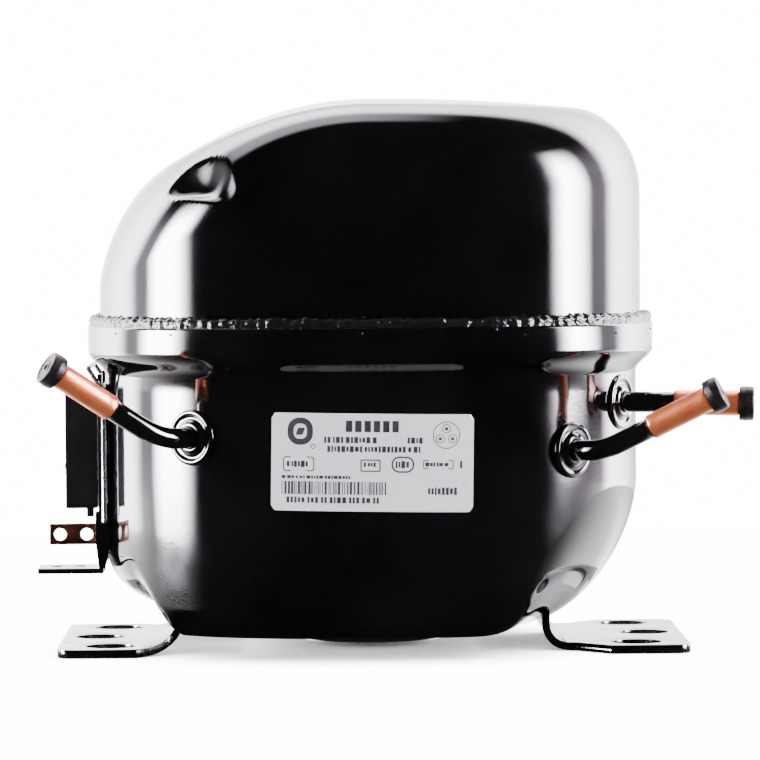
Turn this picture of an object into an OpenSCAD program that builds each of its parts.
/* [Mounting] */
// Spacing of the mounting holes from foot to foot
hole_span_x = 165; // [160:1:170]
// Spacing of the mounting holes along each foot
hole_span_y = 70; // [60:1:76]
// Diameter of every grommet hole in the feet
foot_hole_d = 16; // [10:0.5:17]
// Thickness of the foot plates
foot_t = 2.5; // [2:0.1:3]

/* [Shell] */
// Half width of the upper shell wall, left to right
shell_a = 86.4; // [86:0.1:87]
// Half depth of the upper shell wall, front to back
shell_b = 75; // [74.5:0.1:76]
// Squareness of the shell seen from above, 2 is an ellipse
shell_n = 2.35; // [2.3:0.05:2.4]
// Height of the top of the shell
shell_top = 174.2; // [173:0.1:177]
// Height of the pocket floors at the left end
ledge_z = 143; // [142:0.5:145]
// Height of the seam between the shells
seam_z = 103; // [102.5:0.1:103.5]
// Sheet thickness of the shells
wall = 3; // [2.5:0.1:3.2]

/* [Pump] */
// Crank radius, half of the piston stroke
crank_r = 7.35; // [6:0.05:7.5]
// Diameter of the cylinder bore
bore_d = 25; // [22:0.1:25.5]
// Height of the cylinder axis
cyl_z = 131; // [130.5:0.5:133]
// Radial clearance of every running fit
fit = 0.03; // [0.02:0.01:0.08]

/* [Motor] */
// Width of the square stator laminations
stator_w = 96; // [92:1:98]
// Height of the lamination stack
stack_h = 42; // [38:1:43]
// Outer diameter of the rotor
rotor_d = 52; // [46:1:53]

/* [Label] */
// Width of the rating label
label_w = 62; // [50:1:66]
// Height of the rating label
label_h = 30; // [24:1:34]

/* [Hidden] */
$fn = 64;
eps = 0.01;
around = 90;                    // points around each shell ring

// ---- shell outline and profiles --------------------------------------------

// Radius of the rounded outline with half widths a and b, in direction t
function outline_r(a, b, t) =
    pow(pow(abs(cos(t)) / a, shell_n) + pow(abs(sin(t)) / b, shell_n), -1 / shell_n);
function at(r, t, z) = [r * cos(t), r * sin(t), z];

// Closed skin over a list of equal rings, with a point at each end
function skin_points(rings, first, last) =
    concat([first], [for (ring = rings) for (p = ring) p], [last]);
function skin_faces(m, n) = concat(
    [for (i = [0:n - 1]) [0, 1 + i, 1 + (i + 1) % n]],
    [for (j = [0:m - 2]) for (i = [0:n - 1]) [1 + j * n + i, 1 + (j + 1) * n + i, 1 + j * n + (i + 1) % n]],
    [for (j = [0:m - 2]) for (i = [0:n - 1])
        [1 + j * n + (i + 1) % n, 1 + (j + 1) * n + i, 1 + (j + 1) * n + (i + 1) % n]],
    [for (i = [0:n - 1]) [1 + m * n, 1 + (m - 1) * n + (i + 1) % n, 1 + (m - 1) * n + i]]);
module skin(rings, first, last) {
    polyhedron(skin_points(rings, first, last), skin_faces(len(rings), len(rings[0])));
}

// Upper shell: a crowned top that falls away to the left, with a rolled edge and a
// flat-floored pocket pressed into each of the two left corners
corner_w = 20;                  // width of the rolled top corner
corner_h = 24;                  // height of the rolled top corner
lip_w = 4;                      // width of the rolled edge of the pocket floor
lip_h = 4;                      // height of the rolled edge of the pocket floor
pocket_x = -44;                 // the pockets lie left of this
pocket_y = 52;                  // and further out than this, front and back
pocket_r = 24;                  // rounding of their inner corner
pocket_run = 6;                 // run of their wall, from floor to dome
skirt_z = 94;                   // bottom of the upper shell, inside the bell
function clamped(u) = max(0, min(1, u));
function crown_z(x, y) = shell_top - (x < 0 ? 0.0051 : 0.0008) * x * x - 0.0008 * y * y;
function rolled(inset, w, h) = h * (1 - sqrt(1 - pow(1 - clamped(inset / w), 2)));
function rising(u) = 1 - pow(1 - clamped(u), 1.3);
function from_pocket(x, y) =
    let (dx = x - pocket_x + pocket_r, dy = pocket_y + pocket_r - abs(y))
    norm([max(dx, 0), max(dy, 0)]) - pocket_r + min(0, max(dx, dy));
function cover_z(x, y, inset, k) =
    let (dome = crown_z(x, y) - k - rolled(inset, corner_w - k, corner_h - k),
        low = min(dome, ledge_z - k - rolled(inset, lip_w - k, lip_h - k)))
    low + (dome - low) * rising((from_pocket(x, y) - k) / pocket_run);
function cover_ring(inset, k) = [for (i = [0:around - 1])
    let (t = i * 360 / around, r = outline_r(shell_a - k, shell_b - k, t) - inset)
    at(r, t, cover_z(r * cos(t), r * sin(t), inset, k))];
function cover_wall(z, k) = [for (i = [0:around - 1])
    at(outline_r(shell_a - k, shell_b - k, i * 360 / around), i * 360 / around, z)];
function cover_rings(k) = concat(
    [cover_wall(skirt_z, k), cover_wall(112, k)],
    [for (inset = [0, 0.7, 1.9, 3.6, 6, 9, 12, 15, 18.5, 24, 32, 43, 55, 67]) cover_ring(inset, k)]);
function flipped(rings) = [for (j = [len(rings) - 1:-1:0]) rings[j]];

// Lower shell: bell rim, neck, straight wall and a bowl that is tighter at the front
bowl_a = 84.8;
bowl_b = 73.4;
bell = 5.4;                     // how far the bell rim stands out
floor_z = 6.8;                  // underside of the flat bottom
raised = 5;                     // how much higher the left side ends
boss_r = 37;                    // radius of the round bottom boss
boss_z = 1.6;                   // underside of the round bottom boss
function smooth(u) = clamped(u) * clamped(u) * (3 - 2 * clamped(u));
function rightness(t) = smooth((cos(t) - 0.42) / 0.48);
function leftness(t) = smooth((-0.76 - cos(t)) / 0.14);
function bowl_w(t) = 7 + 29 * rightness(t) + 24 * leftness(t);
function bowl_h(t) = 9 + 37 * rightness(t) + 11 * leftness(t);
function bowl_p(t) = 2 / (1.8 - 0.1 * rightness(t) + 0.2 * leftness(t));
function bowl_point(t, phi, k) =
    let (u = pow(cos(phi), bowl_p(t)), v = pow(sin(phi), bowl_p(t)),
        r = outline_r(bowl_a - k, bowl_b - k, t) - (bowl_w(t) - k) * (1 - u))
    at(r, t, floor_z + raised * leftness(t) + k + (bowl_h(t) - k) * (1 - v));
function lower_wall(out, z, k) = [for (i = [0:around - 1])
    at(outline_r(bowl_a - k, bowl_b - k, i * 360 / around) + out, i * 360 / around, z)];
function lower_round(r, z) = [for (i = [0:around - 1]) at(r, i * 360 / around, z)];
function lower_rings(k) = concat(
    [lower_wall(bell, seam_z, k), lower_wall(bell, 94, k), lower_wall(4.4, 91.5, k),
        lower_wall(1.4, 88.5, k), lower_wall(0, 86, k)],
    [for (phi = [0, 14, 28, 44, 60, 75, 90]) [for (i = [0:around - 1])
        bowl_point(i * 360 / around, phi, k)]],
    [lower_round(boss_r + 2 - k / 2, floor_z + k), lower_round(boss_r - 2 - k / 2, floor_z - 0.9 + k),
        lower_round(boss_r - 13 - k / 2, boss_z + 0.7 + k), lower_round(boss_r - 20, boss_z + k)]);

module upper_shell() {
    color([0.05, 0.05, 0.06])
        skin(concat(flipped(cover_rings(wall)), cover_rings(0)),
            [0, 0, shell_top - wall], [0, 0, shell_top]);
}

module lower_shell() {
    color([0.05, 0.05, 0.06])
        skin(concat(flipped(lower_rings(wall)), lower_rings(0)), [0, 0, boss_z + wall], [0, 0, boss_z]);
}

// ---- seam, feet and label ---------------------------------------------------

module weld_bead() {
    bead_r = 2.5;
    lumps = function (i) 1 + 0.10 * sin(i * 137) + 0.08 * sin(i * 61);
    ring = [for (i = [0:around - 1])
        let (t = i * 360 / around, c = outline_r(shell_a + 1.9, shell_b + 1.9, t)) [t, c, bead_r * lumps(i)]];
    sides = 8;
    points = [for (q = ring) for (k = [0:sides - 1])
        at(q[1] + q[2] * cos(k * 45), q[0], seam_z + 0.7 + q[2] * 0.8 * sin(k * 45))];
    faces = [for (i = [0:around - 1]) for (k = [0:sides - 1]) for (half = [0, 1])
        let (a = i * sides, b = ((i + 1) % around) * sides, m = (k + 1) % sides)
        half == 0 ? [a + k, b + k, a + m] : [a + m, b + k, b + m]];
    color([0.07, 0.07, 0.08]) polyhedron(points, faces);
}

foot_out = 99;                  // outer edge of the flat plate
foot_half = 48;                 // half length of the foot
neck_half = 33;                 // half length of the neck
arch_r = 114;                   // radius of the arch cut into the top of the neck
centre_hole_x = 87.2;           // third hole of each foot

// Each neck: its inner face, the radius under the bend, its top, and the height of the arch's centre
LEFT_NECK = [59, 12.5, 14.2, 127.5];
RIGHT_NECK = [53, 8, 12.5, 122.5];

// Section of a foot, from its outer edge in to the neck that turns up to the shell
module foot_section(neck) {
    bend = neck[0] + neck[1];
    under = [for (a = [0:10:90]) [bend - neck[1] * sin(a), neck[1] * (1 - cos(a))]];
    over = [for (a = [90:-10:0])
        [bend - (neck[1] - foot_t) * sin(a), neck[1] - (neck[1] - foot_t) * cos(a)]];
    polygon(concat([[foot_out, 0]], under, [[neck[0], neck[2]], [neck[0] + foot_t, neck[2]]], over,
        [[foot_out, foot_t]]));
}
// Plan of a foot: square outside, drawn in towards the neck
module foot_plan(inner) {
    polygon([[foot_out - 5, -foot_half], [foot_out, 5 - foot_half], [foot_out, foot_half - 5],
        [foot_out - 5, foot_half], [74, foot_half], [64, neck_half + 3], [inner, neck_half],
        [inner, -neck_half], [64, -neck_half - 3], [74, -foot_half]]);
    for (y = [-1, 1]) translate([foot_out - 5, y * (foot_half - 5)]) circle(5);
}
module foot(side, neck) {
    color([0.08, 0.08, 0.09]) mirror([side < 0 ? 1 : 0, 0, 0]) difference() {
        intersection() {
            translate([0, foot_half, 0]) rotate([90, 0, 0]) linear_extrude(2 * foot_half) foot_section(neck);
            linear_extrude(neck[2] + 1) foot_plan(neck[0] - 1);
        }
        for (y = [-1, 1])
            translate([hole_span_x / 2, y * hole_span_y / 2, -1]) cylinder(d = foot_hole_d, h = foot_t + 2);
        translate([centre_hole_x, 0, -1]) cylinder(d = foot_hole_d, h = foot_t + 2);
        translate([neck[0] - 1, 0, neck[3]]) rotate([0, 90, 0]) cylinder(r = arch_r, h = 6);
    }
}
module foot_left() { foot(-1, LEFT_NECK); }
module foot_right() { foot(1, RIGHT_NECK); }

label_mid = [-0.4, 61.5];        // middle of the label, across and up
label_t = 0.3;
function wall_y(x, out) =
    -(bowl_b + out) * pow(1 - pow(abs(x) / (bowl_a + out), shell_n), 1 / shell_n);

module rating_label() {
    cols = 16;
    xs = [for (i = [0:cols]) label_mid[0] - label_w / 2 + label_w * i / cols];
    section = concat([for (x = xs) [x, wall_y(x, 0.06 + label_t)]],
        [for (i = [cols:-1:0]) [xs[i], wall_y(xs[i], 0.06)]]);
    color([0.85, 0.86, 0.87])
        translate([0, 0, label_mid[1] - label_h / 2]) linear_extrude(label_h) polygon(section);
}

// ---- tubes through the wall --------------------------------------------------

// Each port: foot of the tube on the wall, outward direction, final direction,
// distance to the bend corner, bend radius, painted length after the corner
tube_r = 3.25;
stub_r = 3.9;
stub_bore = 3.15;
stub_len = 20;
function unit(v) = v / norm(v);
function wall_point(x, z) = [x, wall_y(x, 0), z];
DISCHARGE = [wall_point(-56, 69), unit([-0.63, -0.777, 0]), unit([-0.76, -0.30, 0.52]), 15.1, 24, 18.4];
SUCTION = [wall_point(62, 64), unit([0.755, -0.656, 0]), unit([0.88, -0.17, 0.445]), 11.9, 18, 16.4];
PROCESS = [wall_point(78, 78), unit([0.891, -0.454, 0]), unit([1, -0.1, -0.02]), 12, 20, 6];
function corner_point(port) = port[0] + port[1] * port[3];
function stub_start(port) = corner_point(port) + port[2] * port[5];
function turn_of(port) = acos(port[1] * port[2]);
function bend_back(port) = port[4] * tan(turn_of(port) / 2);
function inward(port) = unit(port[2] - port[1] * (port[1] * port[2]));
function bend_axis(port) = cross(port[1], inward(port));

// Frames along a port's tube: point and direction
function port_frames(port, steps) = concat(
    [[port[0] - 6 * port[1], port[1]]],
    [for (i = [0:steps]) let (phi = turn_of(port) * i / steps, m = inward(port))
        [corner_point(port) - bend_back(port) * port[1]
            + port[4] * (m * (1 - cos(phi)) + port[1] * sin(phi)), port[1] * cos(phi) + m * sin(phi)]],
    [[stub_start(port), port[2]]]);
function ring_about(frame, side, r, sides) = let (u = unit(cross(side, frame[1])), v = cross(frame[1], u))
    [for (k = [0:sides - 1]) frame[0] + r * (u * cos(k * 360 / sides) + v * sin(k * 360 / sides))];

// Hollow tube along frames: the skin goes out along the outside and back through the bore
module pipe(frames, side, r_out, r_in, sides) {
    n = len(frames);
    rings = concat([for (f = frames) ring_about(f, side, r_out, sides)],
        [for (j = [n - 1:-1:0]) ring_about(frames[j], side, r_in, sides)]);
    m = len(rings);
    faces = [for (j = [0:m - 1]) for (k = [0:sides - 1]) for (half = [0, 1])
        let (a = j * sides, b = ((j + 1) % m) * sides, q = (k + 1) % sides)
        half == 0 ? [a + k, b + k, a + q] : [a + q, b + k, b + q]];
    polyhedron([for (ring = rings) for (p = ring) p], faces);
}
// Places children with +Z along a direction
module aim(p, d) {
    translate(p) rotate([0, acos(d[2]), atan2(d[1], d[0])]) children();
}
module port_tube(port) {
    color([0.05, 0.05, 0.06]) pipe(port_frames(port, 8), bend_axis(port), tube_r, tube_r - 0.9, 20);
}
module port_collar(port) {
    color([0.09, 0.09, 0.1]) aim(port[0], port[1]) rotate_extrude()
        polygon([[tube_r + 0.05, -1], [8.6, -1], [8.6, 1.1], [7.6, 1.9], [6.9, 1.9], [6.4, 1.2],
            [5.6, 1.2], [5, 2.1], [tube_r + 0.05, 2.4]]);
}
module port_stub(port) {
    color([0.75, 0.4, 0.25]) aim(stub_start(port), port[2]) difference() {
        cylinder(r = stub_r, h = stub_len);
        translate([0, 0, -1]) cylinder(r = stub_bore, h = stub_len + 2);
    }
}
module port_plug(port) {
    color([0.06, 0.06, 0.06]) aim(stub_start(port) + stub_len * port[2], port[2]) rotate_extrude()
        polygon([[0, -8], [stub_bore - 0.35, -8], [stub_bore - 0.1, -7], [stub_bore - 0.1, 0.05], [5, 0.05],
            [5.4, 0.5], [5.4, 4.3], [5, 4.8], [1.2, 4.8], [1.2, 3.6], [0, 3.6]]);
}
module suction_collar() { port_collar(SUCTION); }
module discharge_collar() { port_collar(DISCHARGE); }
module process_collar() { port_collar(PROCESS); }
module suction_tube() { port_tube(SUCTION); }
module discharge_tube() { port_tube(DISCHARGE); }
module process_tube() { port_tube(PROCESS); }
module suction_stub() { port_stub(SUCTION); }
module discharge_stub() { port_stub(DISCHARGE); }
module process_stub() { port_stub(PROCESS); }
module suction_plug() { port_plug(SUCTION); }
module discharge_plug() { port_plug(DISCHARGE); }
module process_plug() { port_plug(PROCESS); }

// ---- electrical group at the left end ----------------------------------------

term_z = 62;                    // height of the terminal
term_x = -86.2;                 // outer face of the terminal
PINS = [[0, 6], [-6, -4], [6, -4]];
cover_half = 20;                // half width of the relay cover
cover_low = 45;
cover_high = 82.5;
cover_out = -97;                // outer face of the relay cover
plate_x = -86.6;                // outer face of the bracket plate
clip_y = 23.6;
clip_pivot = [-84.7, 41];
clip_r = 0.75;

module along_x(x, y, z, r, h) {
    translate([x, y, z]) rotate([0, 90, 0]) cylinder(r = r, h = h);
}
module terminal_body() {
    color([0.6, 0.6, 0.6]) difference() {
        union() {
            along_x(term_x, 0, term_z, 14, 1.2);
            along_x(term_x - 1, 0, term_z, 10.5, 6.6);
        }
        for (p = PINS) along_x(-100, p[0], term_z + p[1], 1.55, 30);
    }
}
module terminal_pins() {
    color([0.75, 0.75, 0.75]) for (p = PINS) along_x(-93.5, p[0], term_z + p[1], 1.5, 19);
}
flange_t = 1.6;
module terminal_bracket() {
    color([0.12, 0.12, 0.13]) difference() {
        union() {
            translate([plate_x, -22, 26]) cube([1.3, 44, 58]);
            translate([plate_x - 19.4, -22, 24.4]) cube([20.7, 20, flange_t]);
            for (y = [-22, 20.7]) translate([0, y + 1.3, 0]) rotate([90, 0, 0]) linear_extrude(1.3)
                polygon([[plate_x - 1, 34], [plate_x - 1, 44], [-82.9, 44], [-82.9, 34], [-84.6, 26],
                    [plate_x, 26]]);
            for (y = [-22, 14]) translate([plate_x, y, 83]) cube([1.3, 8, 4.5]);
            for (y = [-17, 17]) for (z = [33, 80]) along_x(plate_x + 1.2, y, z, 2, 3.4);
        }
        along_x(-90, 0, term_z, 14.6, 8);
        translate([-100, -11, 20]) cylinder(d = 5, h = 10);
        translate([-92.5, -11, 20]) cylinder(d = 5, h = 10);
        translate([clip_pivot[0], 30, clip_pivot[1]]) rotate([90, 0, 0]) cylinder(r = clip_r + 0.1, h = 60);
    }
}
tab_holes = [-98.9, -90.5];
tab_z = 36.8;
tab_len = plate_x + 102.2;
module earth_tab() {
    color([0.45, 0.22, 0.16]) difference() {
        translate([-102.2, -20.6, 33.6]) cube([tab_len, 1.5, 6.6]);
        for (x = tab_holes) translate([x, -10, tab_z]) rotate([90, 0, 0]) cylinder(r = 1.95, h = 20);
    }
}
module start_relay() {
    color([0.85, 0.85, 0.82]) difference() {
        translate([-94.6, -17, 53]) cube([7, 20, 22]);
        for (p = [PINS[0], PINS[1]]) along_x(-94, p[0], term_z + p[1], 1.6, 20);
    }
}
module overload_protector() {
    color([0.2, 0.2, 0.22]) difference() {
        along_x(-94.6, 10.6, 60, 6.8, 7);
        along_x(-94, PINS[2][0], term_z + PINS[2][1], 1.6, 20);
    }
}
module relay_cover() {
    t = 1.6;
    back = plate_x - 0.4;
    color([0.05, 0.05, 0.05]) {
        difference() {
            union() {
                translate([cover_out, -cover_half, cover_low])
                    cube([back - cover_out, 2 * cover_half, cover_high - cover_low]);
                translate([cover_out - 0.9, -8, 57]) cube([1, 16, 1.6]);
            }
            translate([cover_out + t, t - cover_half, cover_low + t])
                cube([20, 2 * (cover_half - t), cover_high - cover_low - 2 * t]);
        }
        translate([-90.4, -cover_half, 42.3]) cube([2.2, 3, 2.7 + t]);
    }
}
module rod(a, b, r) {
    aim(a, unit(b - a)) cylinder(r = r, h = norm(b - a));
}
module cover_clip() {
    knee_z = 82;
    bar = [-89.5, 89.5];
    color([0.8, 0.8, 0.82]) {
        for (s = [-1, 1]) {
            foot_p = [clip_pivot[0], s * clip_y, clip_pivot[1]];
            knee = [clip_pivot[0], s * clip_y, knee_z];
            tip = [bar[0], s * clip_y, bar[1]];
            rod([clip_pivot[0], s * 20.4, clip_pivot[1]], foot_p, clip_r);
            rod(foot_p, knee, clip_r);
            rod(knee, tip, clip_r);
            for (p = [foot_p, knee, tip]) translate(p) sphere(r = clip_r + 0.01);
        }
        rod([bar[0], -clip_y, bar[1]], [bar[0], clip_y, bar[1]], clip_r);
    }
}

// ---- motor --------------------------------------------------------------------

stack_z = 44;                   // bottom of the lamination stack
stack_top = stack_z + stack_h;
shaft_r = 8;
air_gap = 0.35;
winding_in = 30;
winding_out = 45;
post = 38;                      // bolts, springs and pins stand at plus and minus this
seat_z = 17;                    // top of the lower spring seats
head_z = 38;                    // underside of the stator bolt heads

module at_posts() {
    for (x = [-post, post]) for (y = [-post, post]) translate([x, y, 0]) children();
}
module stator_core() {
    h = stator_w / 2;
    cut = 8;
    color([0.45, 0.46, 0.48]) translate([0, 0, stack_z]) linear_extrude(stack_h) difference() {
        polygon([[-h, cut - h], [cut - h, -h], [h - cut, -h], [h, cut - h], [h, h - cut], [h - cut, h],
            [cut - h, h], [-h, h - cut]]);
        circle(rotor_d / 2 + air_gap);
        for (x = [-post, post]) for (y = [-post, post]) translate([x, y]) circle(3.1);
        for (i = [0:23]) rotate(i * 15) translate([winding_in + 1, 0]) circle(1.6);
    }
}
module winding(z, h) {
    color([0.7, 0.35, 0.15]) translate([0, 0, z]) rotate_extrude()
        polygon([[winding_in, 0], [winding_out, 0], [winding_out, h - 4], [winding_out - 4, h],
            [winding_in + 3, h], [winding_in, h - 3]]);
}
module upper_winding() { winding(stack_top, 13); }
module lower_winding() { translate([0, 0, stack_z]) mirror([0, 0, 1]) winding(0, 12); }
module rotor_core() {
    color([0.4, 0.41, 0.43]) translate([0, 0, stack_z]) difference() {
        cylinder(d = rotor_d, h = stack_h - 2);
        translate([0, 0, -1]) cylinder(r = shaft_r + 0.02, h = stack_h);
    }
}
module rotor_cage() {
    color([0.8, 0.81, 0.83]) for (z = [stack_z - 6, stack_top - 2]) translate([0, 0, z]) difference() {
        cylinder(d = rotor_d - 1, h = z < stack_z ? 6 : 4.5);
        translate([0, 0, -1]) cylinder(d = rotor_d - 18, h = 8);
    }
}
module stator_bolts() {
    color([0.7, 0.7, 0.7]) at_posts() {
        translate([0, 0, stack_z]) cylinder(r = 2.9, h = stack_h + 14);
        translate([0, 0, head_z]) cylinder(r = 6.9, h = stack_z - head_z, $fn = 6);
        translate([0, 0, head_z - 8]) cylinder(r = 4, h = 8);
    }
}
coil_r = 5.3;
wire_r = 0.8;
turns = 5;
module coil(z_low, z_high) {
    steps = 12 * turns;
    rise = z_high - z_low - 2 * wire_r - 0.1;
    rings = [for (i = [0:steps]) let (t = i * 30)
        [for (k = [0:5]) at(coil_r + wire_r * cos(k * 60), t, 0)
            + [0, 0, z_low + wire_r + 0.05 + rise * i / steps + wire_r * sin(k * 60)]]];
    mid_low = at(coil_r, 0, z_low + wire_r + 0.05);
    mid_high = at(coil_r, 0, z_high - wire_r - 0.05);
    skin([for (ring = rings) [for (k = [5:-1:0]) ring[k]]], mid_low, mid_high);
}
module suspension_springs() {
    color([0.75, 0.75, 0.77]) at_posts() coil(seat_z, head_z);
}
module spring_pins() {
    color([0.5, 0.5, 0.52]) at_posts() {
        translate([0, 0, 9.4]) cylinder(r = 3, h = 3);
        translate([0, 0, 12]) cylinder(r = 6.9, h = seat_z - 12);
        translate([0, 0, seat_z]) cylinder(r = 4, h = 6);
    }
}
module lead_plug() {
    color([0.9, 0.9, 0.88]) difference() {
        translate([-80.2, -10, 52]) cube([10, 20, 20]);
        for (p = PINS) along_x(-82, p[0], term_z + p[1], 1.6, 8);
    }
}

// ---- pump ---------------------------------------------------------------------

deck_z = 112;                   // top of the crankcase deck
deck_t = 8;
deck_half = 46;
bush_r = 11;
hub_z = 90;
flange_r = 18.5;
flange_low = deck_z + 1.1;
flange_top = 118;
pin_r = 5.5;
pin_top = 136.6;
block_in = 19.5;                // inner face of the cylinder block
block_out = 49;                 // face under the valve plate
block_half = 21;
block_top = cyl_z + 20;
bore_r = bore_d / 2 + fit;
bolt_y = 15.5;
bolt_dz = 14.5;
yoke_r = 11;
slide_r = 8.5;
crown_gap = 1.2;                // piston crown to block face at the end of the stroke
plate_in = block_out + 1;       // inner face of the valve plate
plate_out = plate_in + 3;
head_in = plate_out + 0.5;
head_out = head_in + 14.5;

module bolt_holes(x, r, h) {
    for (y = [-bolt_y, bolt_y]) for (z = [-bolt_dz, bolt_dz]) along_x(x, y, cyl_z + z, r, h);
}
module crankcase() {
    cut = 10;
    h = deck_half;
    color([0.32, 0.33, 0.34]) difference() {
        union() {
            translate([0, 0, deck_z - deck_t]) linear_extrude(deck_t)
                polygon([[-h, cut - h], [cut - h, -h], [h - cut, -h], [h, cut - h], [h, h - cut], [h - cut, h],
                    [cut - h, h], [-h, h - cut]]);
            translate([0, 0, hub_z]) cylinder(r = bush_r + 5, h = deck_z - deck_t - hub_z + 1);
            at_posts() translate([0, 0, stack_top]) cylinder(r = 7, h = deck_z - deck_t - stack_top + 1);
        }
        translate([0, 0, hub_z - 1]) cylinder(r = bush_r + 0.01, h = deck_z);
        at_posts() translate([0, 0, stack_top - 1]) cylinder(r = 2.95, h = 16);
        for (a = [120, 180, 240]) rotate(a) translate([30, 0, deck_z - deck_t - 1]) cylinder(r = 7, h = 20);
    }
}
module main_bearing() {
    color([0.7, 0.5, 0.25]) translate([0, 0, hub_z]) difference() {
        cylinder(r = bush_r, h = deck_z - hub_z);
        translate([0, 0, -1]) cylinder(r = shaft_r + fit, h = 30);
    }
}
module thrust_washer() {
    color([0.8, 0.8, 0.8]) translate([0, 0, deck_z]) difference() {
        cylinder(r = 14, h = 1);
        translate([0, 0, -1]) cylinder(r = shaft_r + 0.3, h = 3);
    }
}
module crankshaft() {
    color([0.6, 0.61, 0.63]) difference() {
        union() {
            translate([0, 0, 34]) cylinder(r = shaft_r, h = flange_low - 34);
            translate([0, 0, flange_low]) linear_extrude(flange_top - flange_low) difference() {
                circle(flange_r);
                for (s = [-1, 1]) translate([2, s * 17 - 8]) square([20, 16]);
            }
            translate([crank_r, 0, flange_low]) cylinder(r = pin_r, h = pin_top - flange_low);
        }
        translate([0, 0, 33]) cylinder(r = 4.05, h = 11);
        translate([0, 0, 40]) cylinder(r = 2, h = 60);
        translate([crank_r / 2, 0, pin_top - 2.2]) cylinder(r = 1.2, h = 3);
    }
}
module oil_pickup() {
    color([0.65, 0.66, 0.68]) rotate_extrude()
        polygon([[1.4, 14], [2, 14], [4, 20], [4, 43], [3, 43], [3, 20.4]]);
}
module gallery_plug() {
    color([0.8, 0.65, 0.3]) translate([crank_r / 2, 0, pin_top - 2.1]) cylinder(r = 1.1, h = 2);
}
module slider_block() {
    color([0.75, 0.76, 0.78]) translate([crank_r, 0, cyl_z]) difference() {
        translate([0, slide_r, 0]) rotate([90, 0, 0]) cylinder(r = slide_r, h = 2 * slide_r);
        translate([0, 0, -20]) cylinder(r = pin_r + fit, h = 40);
    }
}
module cross_tube() {
    half = 20;
    slot = crank_r + 0.6;
    color([0.68, 0.69, 0.72]) translate([crank_r, 0, cyl_z]) difference() {
        translate([0, half, 0]) rotate([90, 0, 0]) cylinder(r = yoke_r, h = 2 * half);
        translate([0, half + 1, 0]) rotate([90, 0, 0]) cylinder(r = slide_r + fit, h = 2 * half + 2);
        translate([-pin_r - 0.6, -slot, -20]) cube([2 * pin_r + 1.2, 2 * slot, 18]);
        for (s = [-1, 1]) translate([0, s * slot, -20]) cylinder(r = pin_r + 0.6, h = 18);
    }
}
module piston() {
    color([0.72, 0.73, 0.75]) difference() {
        along_x(crank_r + 9, 0, cyl_z, bore_d / 2, block_out - crown_gap - crank_r - 9);
        translate([crank_r, 20, cyl_z]) rotate([90, 0, 0]) cylinder(r = yoke_r + 0.02, h = 40);
        along_x(crank_r + 10, 0, cyl_z, 7, 22);
        for (x = [40, 44]) translate([x, 0, cyl_z]) rotate([0, 90, 0]) difference() {
            cylinder(r = bore_d / 2 + 1, h = 1);
            translate([0, 0, -1]) cylinder(r = bore_d / 2 - 0.5, h = 3);
        }
    }
}
module cylinder_block() {
    color([0.3, 0.31, 0.32]) difference() {
        translate([block_in, -block_half, deck_z])
            cube([block_out - block_in, 2 * block_half, block_top - deck_z]);
        along_x(0, 0, cyl_z, bore_r, 80);
        bolt_holes(block_out - 20, 2.45, 40);
    }
}
module cover_slice(x, t, tone) {
    color(tone) difference() {
        translate([x, -block_half, deck_z + 1]) cube([t, 2 * block_half, block_top - deck_z - 2]);
        bolt_holes(x - 1, 2.6, t + 2);
        children();
    }
}
suction_y = 5;
discharge_y = -5;
module cylinder_gasket() {
    cover_slice(block_out, 1, [0.35, 0.38, 0.36]) along_x(block_out - 1, 0, cyl_z, 13, 5);
}
module valve_plate() {
    cover_slice(plate_in, plate_out - plate_in, [0.66, 0.67, 0.7]) {
        along_x(plate_in - 1, suction_y, cyl_z + 5, 2.2, 6);
        along_x(plate_in - 1, discharge_y, cyl_z - 4, 2.2, 6);
    }
}
module suction_reed() {
    color([0.8, 0.81, 0.84]) translate([plate_in - 0.35, suction_y - 3, cyl_z - 9]) cube([0.3, 6, 17]);
}
module discharge_reed() {
    color([0.8, 0.81, 0.84]) translate([plate_out + 0.05, discharge_y - 3, cyl_z - 7]) cube([0.3, 6, 14]);
}
module reed_stop() {
    color([0.6, 0.61, 0.64]) {
        translate([plate_out, discharge_y - 3, cyl_z + 7.4]) cube([3, 6, 2.4]);
        translate([plate_out + 2, discharge_y - 3, cyl_z - 7]) cube([1, 6, 14.5]);
    }
}
module head_gasket() {
    cover_slice(plate_out, head_in - plate_out, [0.35, 0.38, 0.36])
        for (y = [-11.5, 0.8]) translate([plate_out - 1, y, cyl_z - 10.5]) cube([4, 10.7, 21]);
}
module cylinder_head() {
    cover_slice(head_in, head_out - head_in, [0.36, 0.37, 0.39]) {
        for (y = [-11.5, 0.8]) translate([head_in - 1, y, cyl_z - 10.5]) cube([10, 10.7, 21]);
        translate([head_in + 5, 30, cyl_z]) rotate([90, 0, 0]) cylinder(r = 3, h = 24);
    }
}
module head_bolts() {
    color([0.7, 0.7, 0.72]) {
        bolt_holes(block_out - 18, 2.4, head_out - block_out + 18);
        for (y = [-bolt_y, bolt_y]) for (z = [-bolt_dz, bolt_dz])
            translate([head_out, y, cyl_z + z]) rotate([0, 90, 0]) cylinder(r = 4.6, h = 3.6, $fn = 6);
    }
}
module suction_muffler() {
    color([0.88, 0.88, 0.84]) difference() {
        union() {
            translate([head_in - 5.5, block_half + 1.5, 108]) cube([18, 15.5, 40]);
            translate([head_in + 5, block_half + 2, cyl_z]) rotate([90, 0, 0]) cylinder(r = 2.9, h = 9);
        }
        translate([head_in - 4, block_half + 3, 109.5]) cube([15, 12.5, 37]);
        translate([head_in + 5, block_half + 4, cyl_z]) rotate([90, 0, 0]) cylinder(r = 2, h = 20);
    }
}
muffler_x = -10;
muffler_y = -57.5;
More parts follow.
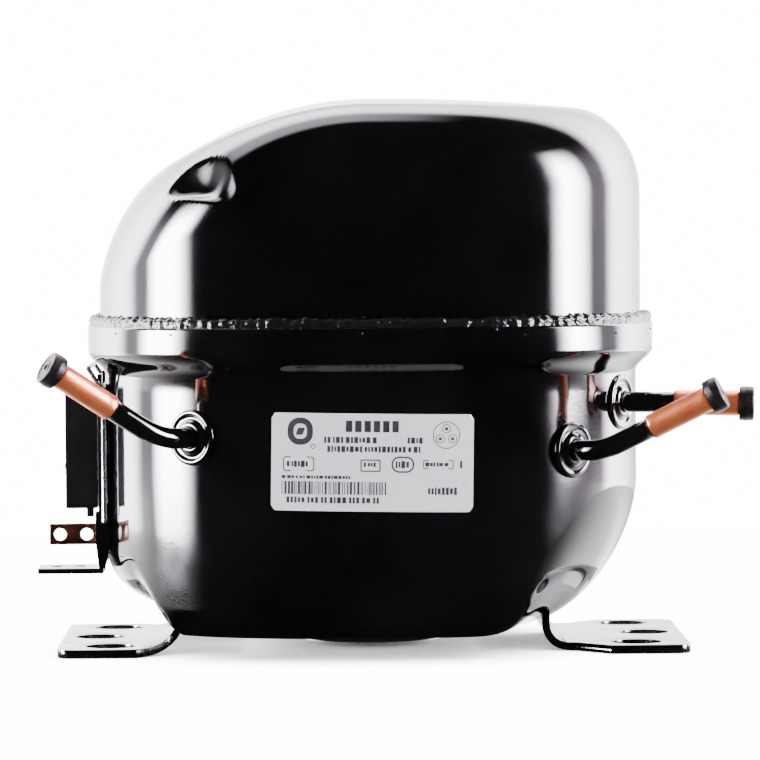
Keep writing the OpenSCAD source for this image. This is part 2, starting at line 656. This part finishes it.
module discharge_muffler() {
    color([0.4, 0.41, 0.42]) difference() {
        union() {
            translate([muffler_x, muffler_y, 104]) cylinder(r = 10.5, h = 30);
            translate([muffler_x - 7, -50, 104]) cube([14, 4, 8]);
        }
        translate([muffler_x, muffler_y, 106]) cylinder(r = 8.5, h = 26);
    }
}
// Route of the discharge line from its muffler round to the outlet tube
LOOP = [[-10, -57.5, 104], [-10, -58, 87], [-9, -58, 66], [-17, -58, 54], [-30, -57, 52],
    [-41, -54, 58], [-47.5, -51.5, 66], [-52.2, -55.3, 69]];
function spline(p, i, u) = let (n = len(p), a = p[max(i - 1, 0)], b = p[i], c = p[i + 1], d = p[min(i + 2, n - 1)])
    0.5 * (2 * b + (c - a) * u + (2 * a - 5 * b + 4 * c - d) * u * u + (3 * b - a - 3 * c + d) * u * u * u);
function route(p, cuts) = concat(
    [for (i = [0:len(p) - 2]) for (q = [0:cuts - 1]) spline(p, i, q / cuts)], [p[len(p) - 1]]);
module discharge_loop() {
    pts = route(LOOP, 4);
    n = len(pts);
    frames = [for (i = [0:n - 1]) [pts[i], unit(pts[min(i + 1, n - 1)] - pts[max(i - 1, 0)])]];
    color([0.75, 0.42, 0.25]) pipe(frames, [0, 1, 0], 2.2, 1.4, 12);
}

upper_shell();
lower_shell();
weld_bead();
foot_left();
foot_right();
rating_label();
suction_collar();
discharge_collar();
process_collar();
suction_tube();
discharge_tube();
process_tube();
suction_stub();
discharge_stub();
process_stub();
suction_plug();
discharge_plug();
process_plug();
terminal_body();
terminal_pins();
terminal_bracket();
earth_tab();
start_relay();
overload_protector();
relay_cover();
cover_clip();
crankcase();
cylinder_block();
main_bearing();
thrust_washer();
crankshaft();
oil_pickup();
gallery_plug();
slider_block();
cross_tube();
piston();
cylinder_gasket();
valve_plate();
suction_reed();
discharge_reed();
reed_stop();
head_gasket();
cylinder_head();
head_bolts();
suction_muffler();
discharge_muffler();
discharge_loop();
stator_core();
upper_winding();
lower_winding();
lead_plug();
rotor_core();
rotor_cage();
stator_bolts();
suspension_springs();
spring_pins();
